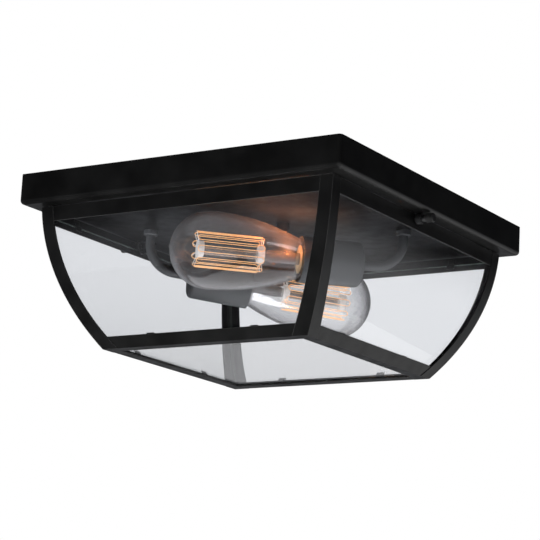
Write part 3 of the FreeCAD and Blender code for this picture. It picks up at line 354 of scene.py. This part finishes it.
MATERIALS = {
    # its light colour is mostly a painted highlight along the edges, with a little uneven
    # tone
    "black_paint": paint("black_powder_coat", (0.0040, 0.0040, 0.0040),
                         (0.085, 0.086, 0.086), 0.33, 0.3,
                         cloudy=0.08, edge_radius=0.0008),
    # a lighter copy of the black paint: the extra lightness is painted glare, standing in for
    # the glass's reflection over the lamp parts
    "grey_paint": paint("lamp_powder_coat_painted_glare", (0.085, 0.089, 0.093),
                        (0.125, 0.130, 0.137), 0.45, 0.5),
    "zinc_steel": metal("zinc_plate", (0.42, 0.42, 0.41), (0.62, 0.62, 0.60), 0.38),
    "green_screw": paint("green_lacquer", (0.02, 0.18, 0.06), (0.05, 0.30, 0.11), 0.35, 0.5),
    "knurled_steel": metal("knurled_steel", (0.07, 0.07, 0.07), (0.14, 0.14, 0.14), 0.42),
    "black_nylon": solid("black_nylon", (0.010, 0.010, 0.011), (0.020, 0.020, 0.021), 0.55),
    "white_ceramic": solid("white_ceramic", (0.76, 0.74, 0.69), (0.88, 0.87, 0.83), 0.50),
    "brass": metal("brass", (0.62, 0.42, 0.16), (0.80, 0.60, 0.30), 0.28),
    "black_insulator": solid("black_insulator", (0.012, 0.012, 0.014),
                             (0.030, 0.030, 0.034), 0.22),
    "solder": metal("solder", (0.48, 0.48, 0.48), (0.68, 0.68, 0.67), 0.45),
    "bulb_glass": thin("bulb_glass", (0.965, 0.965, 0.97), (0.50, 0.50, 0.52), power=2.6,
                       mirror=0.08, veil=0.28, wave=(45.0, 0.35)),
    "clear_glass": thin("pane_glass", (0.985, 0.990, 1.0), (0.85, 0.89, 0.89), mirror=0.065,
                        edge=(0.0011, (0.42, 0.52, 0.47))),
    "glowing_filament": solid("glowing_filament", (0.90, 0.43, 0.16), (0.95, 0.58, 0.28),
                              0.6, emission=0.95),
}
THICK_PANE = refracting("floor_pane_glass", (0.975, 0.98, 0.995), (12.0, 0.01))
STEM_GLASS = thin("stem_glass", (0.90, 0.89, 0.87), (0.60, 0.58, 0.55), power=3.0,
                  mirror=0.30, rough=0.15, veil=0.55, wave=(300.0, 0.8))
# painted glow: the hub's emission stands in for the filament's light falling on it
HUB_CERAMIC_PAINTED_GLOW = solid("hub_ceramic_painted_glow", (0.84, 0.82, 0.79), (0.92, 0.91, 0.89), 0.45,
                    emission=0.35)
# painted glow: the disc's emission stands in for the filament's warm light at the neck
AMBER_PAINTED_GLOW = solid("amber_disc_painted_glow", (0.50, 0.33, 0.15), (0.78, 0.58, 0.33), 0.35, emission=0.45)


def dress_frame():
    """Every CAD node takes the material of its slot; a few pieces have their own."""
    for row in frame["record"]["subparts"]:
        node = frame["nodes"][row["node"]]
        node.data.materials.clear()
        node.data.materials.append(MATERIALS[row["material_slot"]])
    frame["nodes"]["glass_bottom"].data.materials[0] = THICK_PANE
    for lamp in "ab":
        frame["nodes"][f"bulb_stem_{lamp}"].data.materials[0] = STEM_GLASS
        frame["nodes"][f"filament_support_{lamp}"].data.materials[0] = HUB_CERAMIC_PAINTED_GLOW


# ------------------------------------------------------------------ filaments and discs

def tube(name, path, radius):
    """A closed tube of mesh along the points."""
    spots, faces = [], []
    across = None
    for n, point in enumerate(path):
        ahead = (path[min(n + 1, len(path) - 1)] - path[max(n - 1, 0)]).normalized()
        if across is None:
            across = ahead.orthogonal()
        across = (across - ahead * across.dot(ahead)).normalized()
        over = ahead.cross(across)
        for k in range(WIRE_SIDES):
            turn = math.tau * k / WIRE_SIDES
            spots.append(point + radius * (math.cos(turn) * across + math.sin(turn) * over))
    for n in range(len(path) - 1):
        for k in range(WIRE_SIDES):
            a, b = n * WIRE_SIDES + k, n * WIRE_SIDES + (k + 1) % WIRE_SIDES
            faces.append((a, b, b + WIRE_SIDES, a + WIRE_SIDES))
    last = (len(path) - 1) * WIRE_SIDES
    faces.append(tuple(range(WIRE_SIDES))[::-1])
    faces.append(tuple(range(last, last + WIRE_SIDES)))
    piece = mesh_piece(name, spots, faces)
    for face in piece.data.polygons:
        face.use_smooth = True
    return piece


def on_cage(angle, level, radius=CAGE_RADIUS):
    return Vector((radius * math.cos(angle), radius * math.sin(angle), level))


def hairpins():
    """Points of the wire round the lamp's axis: it runs along, turns on a hook, runs back,
    and both ends lead in to the lower support."""
    pitch = math.pi / HOOKS
    bend = CAGE_RADIUS * math.sin(pitch / 2)
    low = LOWER_TIP + bend
    points = [on_cage(-pitch / 2, LOWER_TIP, LEAD_RADIUS), on_cage(-pitch / 2, low)]
    for n in range(2 * HOOKS - 1):
        tip, away = (UPPER_TIP, 1) if n % 2 == 0 else (LOWER_TIP, -1)
        for k in range(BEND_STEPS + 1):
            turn = math.pi * k / BEND_STEPS
            points.append(on_cage(n * pitch - math.cos(turn) * pitch / 2,
                                  tip - away * bend * (1 - math.sin(turn))))
    last = (2 * HOOKS - 1.5) * pitch
    return points + [on_cage(last, low), on_cage(last, LOWER_TIP, LEAD_RADIUS)]


def lamp_frame(lamp):
    """From a lamp's own axis to the row's frame: z runs from the cup to the bulb's end,
    and x, where the first hook stands, points down."""
    ahead = Vector(LAMP_WAYS[lamp]).normalized()
    down = Vector((0, 0, -1))
    down = (down - ahead * down.dot(ahead)).normalized()
    turn = Matrix((down, ahead.cross(down), ahead)).transposed()
    return Matrix.Translation(LAMP_STARTS[lamp]) @ turn.to_4x4()


def ring(name, place, outline):
    """An outline of radii and levels, turned round z."""
    spots, faces = [], []
    for n in range(DISC_STEPS):
        turn = math.tau * n / DISC_STEPS
        for radius, level in outline:
            spots.append(place @ Vector((radius * math.cos(turn),
                                         radius * math.sin(turn), level)))
    count = len(outline)
    for n in range(DISC_STEPS):
        here, there = n * count, (n + 1) % DISC_STEPS * count
        for k in range(count):
            after = (k + 1) % count
            faces.append((here + k, there + k, there + after, here + after))
    return mesh_piece(name, spots, faces)


def build_neck_discs():
    """The thin, slightly domed amber disc seen across each bulb's neck, at the cup's
    mouth, given a painted glow of the filament's warm light. The stem passes through its
    hole."""
    middle = (DISC_INNER_RADIUS + DISC_OUTER_RADIUS) / 2
    outline = [(DISC_INNER_RADIUS, 0.0), (middle, DISC_DOMING), (DISC_OUTER_RADIUS, 0.0),
               (DISC_OUTER_RADIUS, DISC_THICKNESS), (middle, DISC_THICKNESS + DISC_DOMING),
               (DISC_INNER_RADIUS, DISC_THICKNESS)]
    for lamp in "ab":
        place = lamp_frame(lamp) @ Matrix.Translation((0, 0, DISC_LEVEL))
        disc = ring(f"neck_disc_{lamp}", place, outline)
        disc.data.materials.append(AMBER_PAINTED_GLOW)
        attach(disc, f"bulb_{lamp}")


def build_filaments():
    for lamp in "ab":
        place = lamp_frame(lamp)
        wire = tube(f"wire_{lamp}", [place @ point for point in hairpins()], WIRE_RADIUS)
        wire.data.materials.append(MATERIALS["glowing_filament"])
        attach(wire, f"bulb_{lamp}")
        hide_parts(f"filament_{lamp}")


# ------------------------------------------------------------------ stage

MIX_A, MIX_B, MIX_RESULT = 6, 7, 2      # the colour sockets of a Mix node


def is_ray(tree, *kinds):
    """1 for rays of these kinds, 0 for the others."""
    path = tree.nodes.new("ShaderNodeLightPath")
    share = path.outputs[kinds[0]]
    for kind in kinds[1:]:
        share = maths(tree, "MAXIMUM", share, path.outputs[kind])
    return share


def to_bright_side(tree, vector, band):
    """0 to 1 across a band that lies along the way to the bright side."""
    toward = add(tree, "ShaderNodeVectorMath", operation="DOT_PRODUCT")
    tree.links.new(vector, toward.inputs[0])
    toward.inputs[1].default_value = BRIGHT_SIDE
    return soft_step(tree, toward.outputs["Value"], band)


def build_floor():
    """A pale floor far below, which looks nearly white to the camera."""
    half = FLOOR_HALF
    floor = mesh_piece("floor", [(-half, -half, FLOOR_LEVEL), (half, -half, FLOOR_LEVEL),
                                 (half, half, FLOOR_LEVEL), (-half, half, FLOOR_LEVEL)],
                       [(0, 1, 2, 3)])
    material, tree, shader = blank_material("floor")
    shader.inputs["Base Color"].default_value = FLOOR_COLOUR
    shader.inputs["Roughness"].default_value = FLOOR_ROUGHNESS
    white = add(tree, "ShaderNodeEmission", {"Color": WHITE, "Strength": 1.0})
    mirrored = maths(tree, "MULTIPLY", to_bright_side(tree, place_of(tree), FLOOR_BAND),
                     is_ray(tree, "Is Glossy Ray"))
    seen = maths(tree, "MULTIPLY", is_ray(tree, "Is Camera Ray", "Is Transmission Ray"),
                 FLOOR_WHITE)
    surface = blend(tree, maths(tree, "MAXIMUM", mirrored, seen),
                    shader.outputs["BSDF"], white.outputs["Emission"])
    tree.links.new(surface, tree.nodes["Material Output"].inputs["Surface"])
    floor.data.materials.append(material)


def build_world():
    """White behind the lantern. Its light comes softly from one side, from below."""
    world = bpy.data.worlds.new("studio")
    world.use_nodes = True
    bpy.context.scene.world = world
    tree = world.node_tree
    tree.nodes.clear()
    direction = tree.nodes.new("ShaderNodeTexCoord").outputs["Generated"]
    side = to_bright_side(tree, direction, SIDE_BAND)
    height = add(tree, "ShaderNodeSeparateXYZ", {"Vector": direction}).outputs["Z"]
    below = soft_step(tree, height, SKY_BAND)
    mixed = add(tree, "ShaderNodeMix", data_type="RGBA")
    tree.links.new(below, mixed.inputs["Factor"])
    mixed.inputs[MIX_A].default_value = (*SKY_ABOVE, 1.0)
    tree.links.new(tinted(tree, side, SKY_DULL, SKY_BRIGHT), mixed.inputs[MIX_B])
    sky = add(tree, "ShaderNodeBackground",
              {"Color": mixed.outputs[MIX_RESULT], "Strength": SKY_STRENGTH})
    plain = add(tree, "ShaderNodeBackground", {"Color": WHITE, "Strength": 1.0})
    surface = blend(tree, is_ray(tree, "Is Camera Ray", "Is Transmission Ray"),
                    sky.outputs["Background"], plain.outputs["Background"])
    output = tree.nodes.new("ShaderNodeOutputWorld")
    tree.links.new(surface, output.inputs["Surface"])


def build_lamps():
    for name, place, width, watts in SOFT_LAMPS:
        data = put_lamp(name, "AREA", place, -Vector(place), watts)
        data.size = width


def build_glow():
    """Warm light of a filament on the plate over lamp A's neck."""
    data = put_lamp("filament_glow", "SPOT", GLOW_PLACE, GLOW_WAY, GLOW_WATTS)
    data.color = GLOW_COLOUR
    data.spot_size = GLOW_CONE
    data.spot_blend = 1.0
    data.shadow_soft_size = GLOW_RADIUS


def build_camera():
    ahead = Vector((-math.sin(CAMERA_AZIMUTH) * math.cos(CAMERA_RISE),
                    math.cos(CAMERA_AZIMUTH) * math.cos(CAMERA_RISE),
                    math.sin(CAMERA_RISE)))
    right = ahead.cross(Vector((0, 0, 1))).normalized()
    up = right.cross(ahead)
    turn = Matrix((right, up, -ahead)).transposed()
    turn = turn @ Matrix.Rotation(CAMERA_ROLL, 3, "Z")
    data = bpy.data.cameras.new("camera")
    data.lens = FOCAL_LENGTH_MM
    data.sensor_width = SENSOR_MM
    camera = put("camera", data)
    camera.matrix_world = Matrix.Translation(CAMERA_PLACE) @ turn.to_4x4()
    bpy.context.scene.camera = camera


bpy.context.scene.view_settings.view_transform = "Standard"
dress_frame()
build_filaments()
build_neck_discs()
build_floor()
build_world()
build_lamps()
build_glow()
build_camera()
